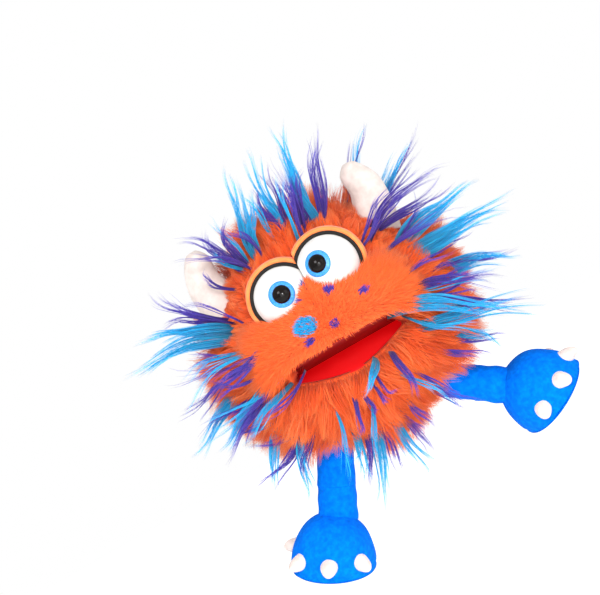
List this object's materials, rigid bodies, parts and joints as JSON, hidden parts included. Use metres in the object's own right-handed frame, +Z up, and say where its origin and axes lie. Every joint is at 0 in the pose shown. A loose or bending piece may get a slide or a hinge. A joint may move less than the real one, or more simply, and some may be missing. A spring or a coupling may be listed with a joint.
{
  "type": "moving mouth puppet",
  "caption": "Furry monster hand puppet with a moving mouth, domed eyes, horns, long coloured locks and stuffed legs with clawed feet.",
  "frame": {"origin": "middle of the hand opening in the puppet's back, on the hem's rear face", "axes": "+Z up through the crown, -Y the way the puppet faces, +X the puppet's own left side"},
  "size_m": [0.3374, 0.1934, 0.3338],
  "materials": {
    "fur_orange": "long-pile fur, soft sheen",
    "muzzle_fur": "short-pile fur with small dyed spots",
    "locks_cyan": "long fibre tufts, cyan",
    "locks_purple": "long fibre tufts, purple",
    "stuffing": "polyester filling",
    "lining": "plain woven lining",
    "mouth_lining": "smooth knitted cloth",
    "mouth_board": "flexible board",
    "eye_white": "tight fine-knit cloth over a hollow half ball",
    "iris": "felt",
    "pupil": "polished black",
    "washer": "moulded",
    "eyelid": "short-nap cloth",
    "eyelid_piping": "covered cord",
    "horn_plush": "short plush",
    "leg_plush": "short velour plush",
    "claw_plush": "short plush"
  },
  "bodies": {
    "head": {"crown_fur": "fur_orange", "back_fur": "fur_orange", "belly_fur": "fur_orange", "right_cheek_fur": "fur_orange", "left_cheek_fur": "fur_orange", "muzzle_fur": "muzzle_fur", "muzzle_stuffing": "stuffing", "crown_stuffing": "stuffing", "right_cheek_stuffing": "stuffing", "left_cheek_stuffing": "stuffing", "hand_sleeve": "lining", "sleeve_hem": "lining", "finger_pocket": "lining", "palate_cloth": "mouth_lining", "upper_mouth_board": "mouth_board", "right_eye_white": "eye_white", "right_iris": "iris", "right_pupil": "pupil", "right_pupil_washer": "washer", "right_eyelid": "eyelid", "right_eyelid_piping": "eyelid_piping", "right_horn": "horn_plush", "left_eye_white": "eye_white", "left_iris": "iris", "left_pupil": "pupil", "left_pupil_washer": "washer", "left_eyelid": "eyelid", "left_eyelid_piping": "eyelid_piping", "left_horn": "horn_plush", "crown_locks": "locks_cyan", "left_side_locks": "locks_cyan", "right_side_locks": "locks_cyan", "back_locks": "locks_cyan", "belly_locks": "locks_purple"},
    "jaw": {"jaw_fur": "fur_orange", "jaw_stuffing": "stuffing", "lower_mouth_board": "mouth_board", "mouth_floor_cloth": "mouth_lining", "thumb_pocket": "lining", "chin_locks": "locks_purple"},
    "right_hip": {"right_hip_gusset": "leg_plush"},
    "right_leg": {"right_leg_skin": "leg_plush", "right_leg_stuffing": "stuffing"},
    "right_foot": {"right_foot_upper": "leg_plush", "right_foot_stuffing": "stuffing", "right_foot_sole": "leg_plush", "right_inner_claw": "claw_plush", "right_middle_claw": "claw_plush", "right_outer_claw": "claw_plush", "right_rear_claw": "claw_plush"},
    "left_hip": {"left_hip_gusset": "leg_plush"},
    "left_leg": {"left_leg_skin": "leg_plush", "left_leg_stuffing": "stuffing"},
    "left_foot": {"left_foot_upper": "leg_plush", "left_foot_stuffing": "stuffing", "left_foot_sole": "leg_plush", "left_inner_claw": "claw_plush", "left_middle_claw": "claw_plush", "left_outer_claw": "claw_plush", "left_rear_claw": "claw_plush"}
  },
  "joints": [
    {"name": "jaw_open", "type": "hinge", "parent": "head", "child": "jaw", "pos_m": [0, -0.066, 0], "axis": [1, 0, 0], "range_deg": [-18, 12]},
    {"name": "right_hip_swing", "type": "hinge", "parent": "head", "child": "right_hip", "pos_m": [-0.045, -0.077, -0.055], "axis": [-1, 0, 0], "range_deg": [-35, 75]},
    {"name": "right_hip_splay", "type": "hinge", "parent": "right_hip", "child": "right_leg", "pos_m": [-0.05226, -0.077, -0.06926], "axis": [0, 1, 0], "range_deg": [-27, 45]},
    {"name": "right_ankle_roll", "type": "hinge", "parent": "right_leg", "child": "right_foot", "pos_m": [-0.07224, -0.077, -0.10846], "axis": [0, 1, 0], "range_deg": [-30, 25]},
    {"name": "left_hip_swing", "type": "hinge", "parent": "head", "child": "left_hip", "pos_m": [0.045, -0.077, -0.055], "axis": [-1, 0, 0], "range_deg": [-35, 75]},
    {"name": "left_hip_splay", "type": "hinge", "parent": "left_hip", "child": "left_leg", "pos_m": [0.05811, -0.077, -0.06418], "axis": [0, -1, 0], "range_deg": [-55, 25]},
    {"name": "left_ankle_roll", "type": "hinge", "parent": "left_leg", "child": "left_foot", "pos_m": [0.08596, -0.077, -0.08368], "axis": [0, -1, 0], "range_deg": [-5, 50]}
  ]
}
